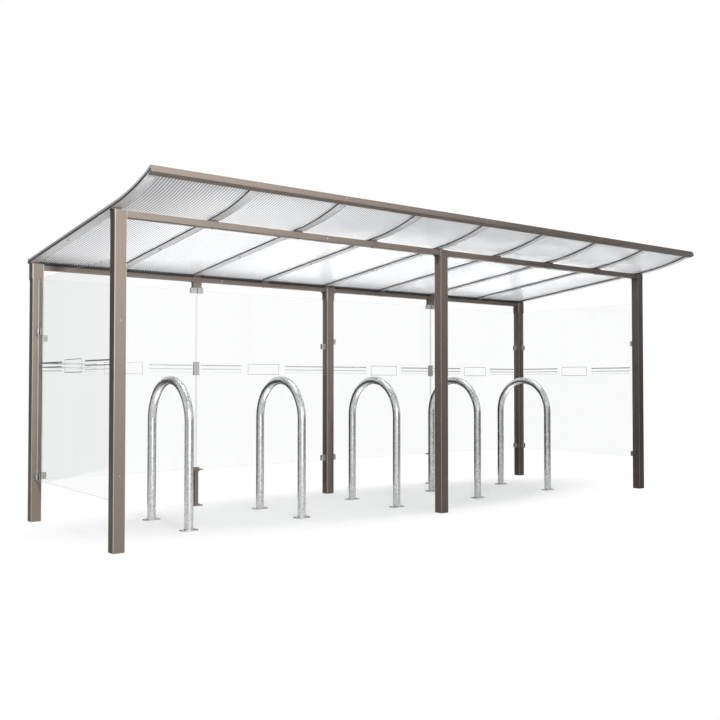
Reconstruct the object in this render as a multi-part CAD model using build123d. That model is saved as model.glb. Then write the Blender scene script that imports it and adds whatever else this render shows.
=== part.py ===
from build123d import *
import math
import os

# Bike shelter: six square posts carry a front and a rear beam, nine curved glazing bars cross the
# beams and hold eight multiwall sheets, toughened glass closes the back and both ends, and five
# tube hoops stand inside.  Millimetres.  X runs along the shelter, the open front faces -Y and
# the ground is Z = 0.  The origin is the centre of the overall box, on the ground.

# ---- frame -------------------------------------------------------------------------------------
bay_length = 2750.0            # post centre to post centre, along the shelter
bay_count = 2
middle_post_shift = 38.0       # the middle posts stand off the middle of the length
frame_depth = 1600.0           # front post centres to rear post centres
post_size = 80.0
post_wall = 3.0
post_corner = 5.0
front_beam_top = 2161.5
rear_beam_top = 1986.0
beam_width = 60.0
beam_height = 42.0
beam_wall = 3.0
head_plate = 4.0               # lid of the cup that closes each post and carries the beam ends
front_head_height = 56.0
front_head_proud = 2.0
rear_head_height = 122.0
rear_head_proud = 5.0
head_clearance = 0.3
gusset_length = 46.0
gusset_drop = 80.0
gusset_edge = 6.0              # square ends of the gusset, beyond its hollow curve
gusset_plate = 8.0

# ---- roof --------------------------------------------------------------------------------------
roof_end_overhang = 15.0       # past the outer faces of the end posts
front_overhang = 600.0         # front post centres to the front ends of the bars
curl_lead = 75.0               # the roof runs straight until this far in front of the front posts
front_curl_radius = 2200.0     # upward curl from there to the front edge
rib_count = 9
rib_width = 60.0
rib_flange = 2.5
rib_lip = 3.0
rib_base = 10.0                # underside of a bar to underside of a sheet
rib_web = 10.0
rib_cap = 6.0
sheet_thickness = 16.0
sheet_side_clearance = 3.0
front_seat = 5.5               # packers between beams and bars, on the beams' centre lines
rear_seat = 8.0
seat_length = 50.0
end_gasket_base = 5.0          # underside of an end bar to its gasket
end_gasket_height = 10.0
end_gasket_depth = 1.5
trim_wall = 2.5
trim_clearance = 0.3
fascia_drop = 8.0              # the lower return hangs this far below the bars
fascia_return = 42.0
rear_trim_return = 30.0

# ---- glass -------------------------------------------------------------------------------------
glass_thickness = 8.0
glass_bottom = 318.0
glass_top_gap = 22.0           # glass to the hangers under the rear beam
glass_post_gap = 16.0          # glass edge to post face
glass_joint_gap = 12.0         # between the two panes of a bay
clamp_low = 345.0              # clamp centres above the ground
clamp_high = 1462.0
clamp_stagger = 50.0           # the left bay's upper clamps sit lower, clear of their neighbours
clamp_height = 50.0
clamp_depth = 30.0
clamp_grip = 28.0              # how far a jaw laps over the glass
clamp_corner = 5.0
pad_thickness = 2.0            # rubber between jaw and glass
pad_proud = 2.0
glass_clearance = 0.3

# ---- mid-bay glass joint -----------------------------------------------------------------------
hanger_width = 95.0
hanger_depth = 40.0
hanger_height = 54.0
hanger_flange = 6.0
hanger_flange_proud = 8.0
top_jaw_width = 50.0
top_jaw_gap = 14.0
top_jaw_lap = 22.0             # height of the jaws over the glass
joint_plate_width = 52.0
joint_plate_height = 115.0
joint_plate_middle = 1190.0
joint_plate_thickness = 5.0
stub_stem = 34.0
stub_wall = 3.0
stub_plate_length = 110.0
stub_plate_width = 60.0
stub_plate_thickness = 8.0
stub_lip = 16.0                # lips on the top plate, either side of the glass
stub_web = 24.0                # small triangles between stem and plates

# ---- hoops -------------------------------------------------------------------------------------
hoop_count = 5
hoop_pitch = 980.0
hoop_row_shift = -55.5         # middle hoop off the middle of the length
hoop_tube = 65.0
hoop_sides = 20                # flats round the tube, which keep the five bends light
hoop_height = 1120.0
hoop_legs = 630.0              # leg centre to leg centre
hoop_middle = 777.0            # front post centres to the middle of the hoops
foot_length = 126.0            # along the shelter
foot_width = 66.0
foot_thickness = 8.0
foot_hole = 13.0
foot_hole_pitch = 100.0

# ---- derived -----------------------------------------------------------------------------------
post_half = post_size / 2
frame_length = bay_length * bay_count
roof_length = frame_length + post_size + 2 * roof_end_overhang
rib_pitch = (roof_length - rib_width) / (rib_count - 1)
rib_depth = rib_base + sheet_thickness + rib_cap
overall_front = front_overhang + trim_clearance + trim_wall
overall_rear = frame_depth + post_half
front_y = (overall_front - overall_rear) / 2
rear_y = front_y + frame_depth
post_shifts = [0.0] + [middle_post_shift] * (bay_count - 1) + [0.0]
post_xs = [(i - bay_count / 2) * bay_length + shift for i, shift in enumerate(post_shifts)]
rib_xs = [(i - (rib_count - 1) / 2) * rib_pitch for i in range(rib_count)]
joint_xs = [(i + 0.5 - bay_count / 2) * bay_length for i in range(bay_count)]
hoop_xs = [(i - (hoop_count - 1) / 2) * hoop_pitch + hoop_row_shift for i in range(hoop_count)]
hoop_y = front_y + hoop_middle
glass_top = rear_beam_top - beam_height - hanger_height - glass_top_gap

os.makedirs("parts", exist_ok=True)


def write(shape, node):
    export_step(shape, f"parts/{node}.step")


def block(x0, x1, y0, y1, z0, z1):
    """A box between two corners."""
    size = (x1 - x0, y1 - y0, z1 - z0)
    centre = ((x0 + x1) / 2, (y0 + y1) / 2, (z0 + z1) / 2)
    return Pos(*centre) * Box(*size)


def centred_block(x, y, z0, width, depth, height):
    """A box centred on x and y that stands on z0."""
    return block(x - width / 2, x + width / 2, y - depth / 2, y + depth / 2, z0, z0 + height)


# ---- roof curve --------------------------------------------------------------------------------
class RoofCurve:
    """Underside of the glazing bars, seen from the side: straight over the beams, then a curl.

    Heights above the curve are measured along its normal, so bars, sheets and trims run parallel.
    """

    def __init__(self):
        front_z = front_beam_top + front_seat
        rear_z = rear_beam_top + rear_seat
        self.front_z = front_z
        self.fall = math.atan2(front_z - rear_z, frame_depth)
        self.start = front_y - curl_lead
        start_z = front_z + curl_lead * math.tan(self.fall)
        self.curl = (
            self.start + front_curl_radius * math.sin(self.fall),
            start_z + front_curl_radius * math.cos(self.fall),
        )

    def point(self, y, height, x=0.0):
        """The point that lies height above the curve at the station y."""
        if y >= self.start:
            z = self.front_z - (y - front_y) * math.tan(self.fall)
            return Vector(x, y + height * math.sin(self.fall), z + height * math.cos(self.fall))
        angle = math.asin((self.curl[0] - y) / front_curl_radius)
        radius = front_curl_radius - height
        return Vector(x, self.curl[0] - radius * math.sin(angle), self.curl[1] - radius * math.cos(angle))

    def edges(self, y0, y1, height):
        """Edges from station y0 to station y1 at one height, split where the curl starts."""
        edges = []
        if y0 < self.start:
            end = min(y1, self.start)
            middle = self.point((y0 + end) / 2, height)
            edges.append(ThreePointArc(self.point(y0, height), middle, self.point(end, height)))
        if y1 > self.start:
            edges.append(Line(self.point(max(y0, self.start), height), self.point(y1, height)))
        return edges

    def strip(self, y0, y1, low, high, width, x=0.0):
        """A strip of the roof between two stations and two heights, centred on x."""
        edges = self.edges(y0, y1, low) + self.edges(y0, y1, high)
        edges.append(Line(self.point(y0, low), self.point(y0, high)))
        edges.append(Line(self.point(y1, low), self.point(y1, high)))
        side = Face(Wire(edges))
        return Pos(x, 0, 0) * extrude(side, amount=width / 2, dir=(1, 0, 0), both=True)


curve = RoofCurve()
bar_front = front_y - front_overhang
bar_rear = rear_y + post_half - trim_wall - trim_clearance


# ---- frame parts -------------------------------------------------------------------------------
def square_tube(outer, wall, corner, height):
    bore = outer - 2 * wall
    return extrude(RectangleRounded(outer, outer, corner) - Rectangle(bore, bore), amount=height)


def post(x, y, top):
    return Pos(x, y, 0) * square_tube(post_size, post_wall, post_corner, top - head_plate)


def post_head(x, y, top, height, proud):
    """A cup over the post's top: the beams are welded to its sides and a bar rests on its lid."""
    size = post_size + 2 * proud
    bore = post_size + 2 * head_clearance
    cup = extrude(RectangleRounded(size, size, post_corner + proud), amount=height)
    cup -= extrude(Rectangle(bore, bore), amount=height - head_plate)
    return Pos(x, y, top - height) * cup


def beam(x0, x1, y, top, proud):
    """Hollow beam between two post heads, with its ends against their faces."""
    start = x0 + post_half + proud
    end = x1 - post_half - proud
    section = Rectangle(beam_width, beam_height) - Rectangle(
        beam_width - 2 * beam_wall, beam_height - 2 * beam_wall
    )
    bar = Plane.YZ * section
    return Pos(start, y, top - beam_height / 2) * extrude(bar, amount=end - start, dir=(1, 0, 0))


def gusset(x, y, top, side, size, height):
    """Plate with a hollow curved edge under a beam, against the side of a post and its head."""
    inner = x + side * post_half
    outer = inner + side * gusset_length
    high = top - beam_height
    low = high - gusset_drop
    edge = inner + side * gusset_edge
    bulge = 0.32
    hollow = ThreePointArc(
        (outer, high - gusset_edge),
        (edge + bulge * (outer - edge), high - gusset_edge - bulge * (gusset_drop - gusset_edge)),
        (edge, low),
    )
    outline = [
        Line((inner, high), (outer, high)),
        Line((outer, high), (outer, high - gusset_edge)),
        hollow,
        Line((edge, low), (inner, low)),
        Line((inner, low), (inner, high)),
    ]
    plate = Plane.XZ * Face(Wire(outline))
    plate = Pos(0, y, 0) * extrude(plate, amount=gusset_plate / 2, both=True)
    return plate - centred_block(x, y, top - height, size, size, height)


# ---- roof parts --------------------------------------------------------------------------------
def glazing_bar(x, outer_side=0):
    """Extruded bar: base flange, two lips under the sheets, a web between them and a cap on top."""
    shape = curve.strip(bar_front, bar_rear, 0, rib_flange, rib_width, x)
    for side in (-1, 1):
        lip_x = x + side * (rib_width - rib_lip) / 2
        top = rib_depth - rib_flange if side == outer_side else rib_base
        shape += curve.strip(bar_front, bar_rear, rib_flange, top, rib_lip, lip_x)
    shape += curve.strip(bar_front, bar_rear, rib_flange, rib_depth - rib_cap, rib_web, x)
    shape += curve.strip(bar_front, bar_rear, rib_depth - rib_cap, rib_depth, rib_width, x)
    return shape


def end_gasket(x, side):
    """Rubber strip on the outer face of an end bar."""
    x += side * (rib_width + end_gasket_depth) / 2
    high = end_gasket_base + end_gasket_height
    return curve.strip(bar_front, bar_rear, end_gasket_base, high, end_gasket_depth, x)


def roof_sheet(index):
    x = (rib_xs[index] + rib_xs[index + 1]) / 2
    width = rib_pitch - rib_web - 2 * sheet_side_clearance
    return curve.strip(bar_front, bar_rear, rib_base, rib_base + sheet_thickness, width, x)


def bar_seat(x, y, top, thickness):
    """Packer on a beam, cut to the slope of the bar above it."""
    length = min(seat_length, beam_width)
    packer = centred_block(x, y, top, rib_width, length, 2 * thickness + length / 4)
    above = curve.strip(y - length, y + length, 0, length, 2 * rib_width, x)
    return packer - above


def fascia(x0, x1):
    """Channel over the front ends of bars and sheets: a face, a return below and one on top."""
    outside = bar_front - trim_clearance - trim_wall
    inside = outside + fascia_return
    low = -fascia_drop
    high = rib_depth + trim_clearance
    width = x1 - x0
    x = (x0 + x1) / 2
    shape = curve.strip(outside, inside, low, low + trim_wall, width, x)
    shape += curve.strip(outside, inside, high, high + trim_wall, width, x)
    shape += curve.strip(outside, outside + trim_wall, low, high + trim_wall, width, x)
    return shape


def rear_trim(x0, x1):
    """Angle over the rear ends of bars and sheets: a face down to the bars' underside and a flange."""
    outside = bar_rear + trim_clearance + trim_wall
    high = rib_depth + trim_clearance
    width = x1 - x0
    x = (x0 + x1) / 2
    shape = curve.strip(outside - rear_trim_return, outside, high, high + trim_wall, width, x)
    shape += curve.strip(outside - trim_wall, outside, 0, high + trim_wall, width, x)
    return shape


# ---- glass parts -------------------------------------------------------------------------------
def glass_edge(post_centre, side):
    """Where a pane starts beside a post."""
    return post_centre + side * (post_half + glass_post_gap)


def rear_pane(bay, half):
    """One of the two panes of a bay, between a post and the joint in the middle of the bay."""
    left, right = post_xs[bay], post_xs[bay + 1]
    joint = joint_xs[bay]
    if half == 0:
        x0, x1 = glass_edge(left, 1), joint - glass_joint_gap / 2
    else:
        x0, x1 = joint + glass_joint_gap / 2, glass_edge(right, -1)
    t = glass_thickness / 2
    return block(x0, x1, rear_y - t, rear_y + t, glass_bottom, glass_top)


def side_pane(x):
    t = glass_thickness / 2
    return block(x - t, x + t, glass_edge(front_y, 1), glass_edge(rear_y, -1), glass_bottom, glass_top)


def jaw():
    """Clamp jaw at the origin: its back is on a post face and it grips glass towards +X."""
    length = glass_post_gap + clamp_grip
    slot = glass_thickness + 2 * (glass_clearance + pad_thickness)
    body = block(0, length, -clamp_depth / 2, clamp_depth / 2, -clamp_height / 2, clamp_height / 2)
    body = chamfer(body.edges().filter_by(Axis.Z).sort_by(Axis.X)[-2:], clamp_corner)
    floor = glass_post_gap - glass_clearance - pad_thickness
    return body - block(floor, length + 1, -slot / 2, slot / 2, -clamp_height, clamp_height)


def pad():
    """Rubber channel in a jaw's slot, round the edge of the glass."""
    floor = glass_post_gap - glass_clearance - pad_thickness
    tip = glass_post_gap + clamp_grip + pad_proud
    outer = glass_thickness / 2 + glass_clearance + pad_thickness
    inner = glass_thickness / 2 + glass_clearance
    half = clamp_height / 2
    shell = block(floor, tip, -outer, outer, -half, half)
    return shell - block(floor + pad_thickness, tip + 1, -inner, inner, -half - 1, half + 1)


def clamp_places():
    """Place and direction of each jaw: on the posts beside the rear panes, then the side panes."""
    rear = []
    for bay in range(bay_count):
        high = clamp_high - (clamp_stagger if bay == 0 else 0)
        for z in (clamp_low, high):
            rear.append((post_xs[bay] + post_half, rear_y, z, 0))
            rear.append((post_xs[bay + 1] - post_half, rear_y, z, 180))
    side = []
    for x in (post_xs[0], post_xs[-1]):
        for z in (clamp_low, clamp_high):
            side.append((x, front_y + post_half, z, 90))
            side.append((x, rear_y - post_half, z, -90))
    return rear, side


def placed(shape, places):
    """One copy of a shape at each place, turned about Z."""
    return Compound([Pos(x, y, z) * Rot(0, 0, angle) * shape for x, y, z, angle in places])


def hanger(x):
    """Flanged block under the rear beam that carries the jaws above the joint."""
    top = rear_beam_top - beam_height
    width = hanger_width - 2 * hanger_flange_proud
    block_part = centred_block(x, rear_y, top - hanger_height, width, hanger_depth, hanger_height)
    upper = centred_block(x, rear_y, top - hanger_flange, hanger_width, hanger_depth, hanger_flange)
    low = top - hanger_height
    lower = centred_block(x, rear_y, low, hanger_width, hanger_depth, hanger_flange)
    return block_part + upper + lower


def top_jaw(x, side):
    """Half of the pair that holds the top edge of two panes under the hanger."""
    top = rear_beam_top - beam_height - hanger_height
    low = glass_top - top_jaw_lap
    centre = x + side * (top_jaw_gap + top_jaw_width) / 2
    body = centred_block(centre, rear_y, low, top_jaw_width, clamp_depth, top - low)
    slot = glass_thickness + 2 * glass_clearance
    cut = centred_block(centre, rear_y, low - 1, 2 * top_jaw_width, slot, top_jaw_lap + 1 + glass_clearance)
    return body - cut


def joint_plate(x, side):
    """Plate screwed over the gap between two panes, one on each face."""
    near = rear_y + side * (glass_thickness / 2 + glass_clearance)
    far = near + side * joint_plate_thickness
    low = joint_plate_middle - joint_plate_height / 2
    y0, y1 = sorted((near, far))
    half = joint_plate_width / 2
    return block(x - half, x + half, y0, y1, low, low + joint_plate_height)


def stub_triangle(x, z, up, side):
    """Triangle between the stem and a plate: its square corner is on the stem's side at z."""
    root = x + side * stub_stem / 2
    points = [(root, z), (root + side * stub_web, z), (root, z + up * stub_web)]
    plate = Plane.XZ * make_face(Polyline(*points, close=True))
    return Pos(0, rear_y, 0) * extrude(plate, amount=stub_wall, both=True)


def stub_post(x):
    """Short foot under the joint: the two panes stand on its top plate, between low lips."""
    thick = stub_plate_thickness
    shelf = glass_bottom - glass_clearance
    stem = extrude(
        Rectangle(stub_stem, stub_stem) - Rectangle(stub_stem - 2 * stub_wall, stub_stem - 2 * stub_wall),
        amount=shelf - 2 * thick,
    )
    shape = Pos(x, rear_y, thick) * stem
    for z in (0, shelf - thick):
        shape += centred_block(x, rear_y, z, stub_plate_length, stub_plate_width, thick)
    for side in (-1, 1):
        shape += stub_triangle(x, thick, 1, side)
        shape += stub_triangle(x, shelf - thick, -1, side)
        lip_y = rear_y + side * (glass_thickness / 2 + glass_clearance + stub_wall / 2)
        shape += centred_block(x, lip_y, shelf, stub_plate_length / 2, stub_wall, stub_lip)
    return shape


# ---- hoops -------------------------------------------------------------------------------------
def hoop_foot():
    """Flat foot with an anchor hole on either side of the tube."""
    plate = extrude(Rectangle(foot_length, foot_width), amount=foot_thickness)
    for side in (-1, 1):
        plate -= Pos(side * foot_hole_pitch / 2, 0, 0) * Cylinder(foot_hole / 2, 4 * foot_thickness)
    return plate


def hoop(x):
    """Bent tube with a flat foot welded to each leg; the feet lie across the plane of the hoop."""
    radius = hoop_legs / 2
    spring = hoop_height - hoop_tube / 2 - radius
    section = RegularPolygon(hoop_tube / 2, hoop_sides)
    bend = Plane.YX * Pos(radius, 0) * section
    shape = Pos(0, 0, spring) * revolve(bend, axis=Axis.X, revolution_arc=180)
    for y in (-radius, radius):
        leg = extrude(section, amount=spring - foot_thickness / 2)
        shape += Pos(0, y, foot_thickness / 2) * leg
        shape += Pos(0, y, 0) * hoop_foot()
    return Pos(x, hoop_y, 0) * shape


# ---- build -------------------------------------------------------------------------------------
def build_frame():
    rows = {
        "front": (front_y, front_beam_top, front_head_height, front_head_proud, front_seat),
        "rear": (rear_y, rear_beam_top, rear_head_height, rear_head_proud, rear_seat),
    }
    sides = ("left", "middle", "right")
    gussets = []
    for row, (y, top, height, proud, seat) in rows.items():
        for side, x in zip(sides, post_xs):
            write(post(x, y, top), f"{row}_post_{side}")
        heads = [post_head(x, y, top, height, proud) for x in post_xs]
        write(Compound(heads), f"{row}_post_heads")
        for side, x0, x1 in zip(("left", "right"), post_xs, post_xs[1:]):
            write(beam(x0, x1, y, top, proud), f"{row}_beam_{side}")
        size = post_size + 2 * proud
        gussets += [gusset(post_xs[1], y, top, s, size, height) for s in (-1, 1)]
        seats = [bar_seat(x, y, top, seat) for x in rib_xs]
        write(Compound(seats), f"{row}_bar_seats")
    write(Compound(gussets), "beam_gussets")


def build_roof():
    last = rib_count - 1
    middle = last // 2
    bars = [glazing_bar(x, -1 if i == 0 else 1 if i == last else 0) for i, x in enumerate(rib_xs)]
    write(Compound([bars[0], bars[last]]), "roof_bars_ends")
    write(Compound(bars[1:middle]), "roof_bars_left_bay")
    write(bars[middle], "roof_bar_middle")
    write(Compound(bars[middle + 1 : last]), "roof_bars_right_bay")
    gaskets = [end_gasket(rib_xs[0], -1), end_gasket(rib_xs[last], 1)]
    write(Compound(gaskets), "roof_end_gaskets")
    for i in range(last):
        write(roof_sheet(i), f"roof_sheet_{i + 1}")
    half = roof_length / 2
    inner = half - rib_width
    write(fascia(-inner, 0), "roof_fascia_left")
    write(fascia(0, inner), "roof_fascia_right")
    write(Compound([fascia(-half, -inner), fascia(inner, half)]), "roof_end_caps")
    write(rear_trim(-half, half), "roof_rear_trim")


def build_glass():
    number = 1
    for bay in range(bay_count):
        for half in (0, 1):
            write(rear_pane(bay, half), f"rear_glass_{number}")
            number += 1
    write(side_pane(post_xs[0]), "side_glass_left")
    write(side_pane(post_xs[-1]), "side_glass_right")
    rear_places, side_places = clamp_places()
    write(placed(jaw(), rear_places), "rear_glass_clamps")
    write(placed(jaw(), side_places), "side_glass_clamps")
    write(placed(pad(), rear_places + side_places), "glass_clamp_pads")
    write(Compound([hanger(x) for x in joint_xs]), "glass_hangers")
    write(Compound([top_jaw(x, s) for x in joint_xs for s in (-1, 1)]), "glass_top_jaws")
    write(Compound([joint_plate(x, s) for x in joint_xs for s in (-1, 1)]), "glass_joint_plates")
    write(Compound([stub_post(x) for x in joint_xs]), "glass_stub_posts")


def build_hoops():
    for i, x in enumerate(hoop_xs):
        write(hoop(x), f"bike_hoop_{i + 1}")


build_frame()
build_roof()
build_glass()
build_hoops()
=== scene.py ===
"""The looks of an open-fronted bike shelter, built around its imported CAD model.

Square powder-coated posts carry two beams, nine curved glazing bars and eight fluted roof
sheets. Glass panes close the back and both ends, and five galvanised hoops stand inside.
The CAD model gives every place and size. This file adds the finishes, the fluted sheets,
the round tubes, the frosted pattern on the glass, and the rivets, screws and bolts.
"""

import logging
import math
from dataclasses import dataclass
from enum import Enum
from typing import Any, Callable, Iterable, Sequence

import bmesh
import bpy
from mathutils import Euler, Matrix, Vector


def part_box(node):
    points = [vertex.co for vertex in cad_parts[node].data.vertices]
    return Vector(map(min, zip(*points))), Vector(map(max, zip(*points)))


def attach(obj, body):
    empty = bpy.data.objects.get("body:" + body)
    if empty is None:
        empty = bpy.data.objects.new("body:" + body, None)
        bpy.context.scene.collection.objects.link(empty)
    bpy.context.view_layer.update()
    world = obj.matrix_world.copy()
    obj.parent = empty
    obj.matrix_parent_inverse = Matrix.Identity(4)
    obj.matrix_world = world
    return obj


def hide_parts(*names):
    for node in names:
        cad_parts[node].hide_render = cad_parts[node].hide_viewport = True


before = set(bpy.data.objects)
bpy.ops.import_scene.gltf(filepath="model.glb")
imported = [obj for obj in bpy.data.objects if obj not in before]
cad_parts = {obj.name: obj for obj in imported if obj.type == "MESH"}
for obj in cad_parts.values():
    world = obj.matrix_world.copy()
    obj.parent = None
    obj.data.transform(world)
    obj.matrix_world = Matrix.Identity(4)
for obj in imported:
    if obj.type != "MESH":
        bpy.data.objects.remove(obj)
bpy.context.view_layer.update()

log = logging.getLogger("bike_shelter")
Colour = tuple[float, float, float]
Box = tuple[Vector, Vector]
Inputs = dict[str | int, Any]

BODY = "root"
BAR_COUNT = 9
BAR_HALF = 0.030
FRONT_PACKER, REAR_PACKER = 0.0055, 0.008
FRONT_REACH, REAR_REACH = 0.600, 0.0372
GLASS_IOR = 1.5
FACE_ON = (0.3, 0.7)
FORWARD = Vector((0, -1, 0))


# ---- node graphs -------------------------------------------------------------------------------
def operator(operation: str) -> Callable[["Val", "Val | float"], "Val"]:
    """A method that adds one Math node for a value and a second operand."""
    return lambda first, second: first.math(operation, second)


class Val:
    """A socket that adds Math nodes to its graph when it is used in an expression."""

    def __init__(self, graph: "Graph", socket: bpy.types.NodeSocket) -> None:
        """Wraps an output socket of one of a graph's nodes."""
        self.graph, self.socket = graph, socket

    def math(self, operation: str, *others: "Val | float") -> "Val":
        """Adds one Math node with this value as its first operand."""
        values = dict(enumerate((self, *others)))
        return self.graph.value("ShaderNodeMath", values, operation=operation)

    __add__ = __radd__ = operator("ADD")
    __sub__ = operator("SUBTRACT")
    __mul__ = __rmul__ = operator("MULTIPLY")
    __truediv__ = operator("DIVIDE")
    __lt__ = operator("LESS_THAN")

    def __rsub__(self, other: float) -> "Val":
        """A number less this value."""
        return (self * -1.0) + other

    def __abs__(self) -> "Val":
        """This value without its sign."""
        return self.math("ABSOLUTE")

    def between(self, low: float, high: float) -> "Val":
        """A smooth step from 0 at one value to 1 at a higher one."""
        span = {"Value": self, "From Min": low, "From Max": high}
        return self.graph.value("ShaderNodeMapRange", span, interpolation_type="SMOOTHSTEP")


class Graph:
    """Adds nodes to a node tree of any kind."""

    def __init__(self, tree: bpy.types.NodeTree) -> None:
        """Wraps a node tree."""
        self.tree = tree

    def node(self, kind: str, inputs: Inputs | None = None, **settings: Any) -> bpy.types.Node:
        """Adds one node.

        Args:
            kind: the node's type.
            inputs: a value, a Val or a list of Vals for each named or numbered input.
            settings: the node's own settings, set before its inputs.

        Returns:
            The new node.
        """
        made = self.tree.nodes.new(kind)
        for name, value in settings.items():
            setattr(made, name, value)
        for key, value in (inputs or {}).items():
            target = made.inputs[key]
            for one in value if isinstance(value, list) else [value]:
                if isinstance(one, Val):
                    self.tree.links.new(one.socket, target)
                else:
                    target.default_value = one
        return made

    def value(
        self, kind: str, inputs: Inputs | None = None, output: str | int = 0, **settings: Any
    ) -> Val:
        """Adds one node and wraps one of its outputs.

        Args:
            kind: the node's type.
            inputs: what its inputs get.
            output: the name or number of the output.
            settings: the node's own settings.

        Returns:
            The wrapped output.
        """
        return Val(self, self.node(kind, inputs, **settings).outputs[output])


class Shading(Graph):
    """A material's or a world's graph, with the patterns that the finishes share."""

    @classmethod
    def of(cls, block: bpy.types.Material | bpy.types.World) -> "Shading":
        """The emptied graph of a new material or world.

        Args:
            block: the material or world.

        Returns:
            The graph.
        """
        block.use_nodes = True
        block.node_tree.nodes.clear()
        return cls(block.node_tree)

    def place(self, *scale: float) -> Val:
        """Places on the object, in metres, stretched by a scale along each axis."""
        where = self.value("ShaderNodeTexCoord", output="Object")
        return self.value("ShaderNodeMapping", {"Vector": where, "Scale": scale or (1.0, 1.0, 1.0)})

    def split(self, vector: Val) -> tuple[Val, Val, Val]:
        """The three parts of a vector."""
        made = self.node("ShaderNodeSeparateXYZ", {0: vector})
        return tuple(Val(self, made.outputs[i]) for i in range(3))

    def facing(self) -> tuple[Val, Val, Val]:
        """The three parts of the surface's own direction."""
        return self.split(self.value("ShaderNodeNewGeometry", output="Normal"))

    def mirror(self) -> Val:
        """How much the outer side of a clear surface mirrors; the inner side mirrors nothing."""
        inner = self.value("ShaderNodeNewGeometry", output="Backfacing")
        return self.value("ShaderNodeFresnel", {"IOR": GLASS_IOR}) * (1.0 - inner)

    def noise(self, where: Val, scale: float, detail: float = 2.0, rough: float = 0.5) -> Val:
        """A noise pattern from 0 to 1.

        Args:
            where: the places that the pattern is read at.
            scale: how many features there are in a metre, roughly.
            detail: the number of finer layers.
            rough: how strong the finer layers are.

        Returns:
            The pattern.
        """
        look = {"Vector": where, "Scale": scale, "Detail": detail, "Roughness": rough}
        return self.value("ShaderNodeTexNoise", look)

    def blend(self, amount: Val, first: Val | Colour, second: Colour) -> Val:
        """Mixes two colours.

        Args:
            amount: how much of the second colour there is.
            first: the first colour.
            second: the second colour.

        Returns:
            The mixed colour.
        """
        first, second = ((*c, 1.0) if isinstance(c, tuple) else c for c in (first, second))
        parts = {0: amount, 6: first, 7: second}
        return self.value("ShaderNodeMix", parts, 2, data_type="RGBA")

    def bump(self, height: Val, strength: float, depth: float) -> Val:
        """A normal raised by a height pattern.

        Args:
            height: the pattern.
            strength: how much of it shows.
            depth: the height, in metres, of a full step.

        Returns:
            The normal.
        """
        raised = {"Strength": strength, "Distance": depth, "Height": height}
        return self.value("ShaderNodeBump", raised)

    def plain(self, kind: str, colour: Colour = (1.0, 1.0, 1.0), **inputs: Any) -> Val:
        """A simple shader of one colour: its kind without the node's prefix, then its inputs."""
        return self.value(f"ShaderNode{kind}", {"Color": (*colour, 1.0), **inputs})

    def surface(self, **inputs: Any) -> Val:
        """The main shader, with its inputs by name, spaces as underscores."""
        named = {key.replace("_", " "): value for key, value in inputs.items()}
        return self.value("ShaderNodeBsdfPrincipled", named)

    def mix(self, amount: Val, first: Val, second: Val) -> Val:
        """Mixes two shaders by the amount of the second."""
        return self.value("ShaderNodeMixShader", {0: amount, 1: first, 2: second})

    def finish(self, shader: Val) -> None:
        """Sends a shader to the material's output."""
        self.node("ShaderNodeOutputMaterial", {"Surface": shader})

    def coat(self, **inputs: Any) -> None:
        """Finishes the material with the main shader alone."""
        self.finish(self.surface(**inputs))


# ---- finishes ----------------------------------------------------------------------------------
def darker(colour: Colour, share: float) -> Colour:
    """A colour with each part cut down to a share of itself."""
    return tuple(part * share for part in colour)


@dataclass(frozen=True)
class Finish:
    """What a surface is made of. Each kind of finish shades itself."""

    name: str

    def shade(self, g: Shading) -> None:
        """Adds the finish's nodes."""
        raise NotImplementedError

    def material(self) -> bpy.types.Material:
        """The finish's material, made the first time that it is asked for.

        Returns:
            The material.
        """
        made = bpy.data.materials.get(self.name)
        if not made:
            made = bpy.data.materials.new(self.name)
            self.shade(Shading.of(made))
        return made

    def dress(self, piece: bpy.types.Object) -> None:
        """Puts the finish on a whole object."""
        piece.data.materials.clear()
        piece.data.materials.append(self.material())


@dataclass(frozen=True)
class PowderCoat(Finish):
    """Satin powder coat with a faint orange peel, a little dust low down and a painted highlight on
    rounded corners.
    """

    colour: Colour = (0.216, 0.175, 0.147)
    fleck_colour: Colour = (0.36, 0.31, 0.27)
    dust: Colour = (0.27, 0.245, 0.22)
    # painted highlight: the pale colour that rounded corners take in place of a reflected light
    corner: Colour = (0.62, 0.54, 0.48)
    roughness: float = 0.42
    dust_height: float = 0.35
    peel_scale: float = 620.0
    peel_depth: float = 0.0002
    cloud_scale: float = 2.3
    fleck_scale: float = 2100.0

    def shade(self, g: Shading) -> None:
        """Adds the coat's nodes.

        Args:
            g: the material's graph.
        """
        where = g.place()
        peel = g.noise(where, self.peel_scale, 3.0, 0.55)
        cloud = g.noise(where, self.cloud_scale, 3.0)
        fleck = g.noise(where, self.fleck_scale, 1.0)
        low = 1.0 - g.split(where)[2].between(0.0, self.dust_height)
        tone = g.blend(cloud * 0.16, self.colour, darker(self.colour, 0.8))
        tone = g.blend((fleck - 0.5) * 0.12 + 0.06, tone, self.fleck_colour)
        tone = g.blend(low * cloud * 0.30, tone, self.dust)
        # painted highlight: where the surface turns diagonally, on a rounded corner, the coat goes
        # pale
        side, front, _ = g.facing()
        rounded = (abs(side) * abs(front)).between(0.12, 0.34)
        g.coat(
            Base_Color=g.blend(rounded * 0.85, tone, self.corner),
            Roughness=self.roughness + (peel - 0.5) * 0.12 + low * 0.12,
            Specular_IOR_Level=0.2,
            Normal=g.bump(peel, 0.16, self.peel_depth),
        )


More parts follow.
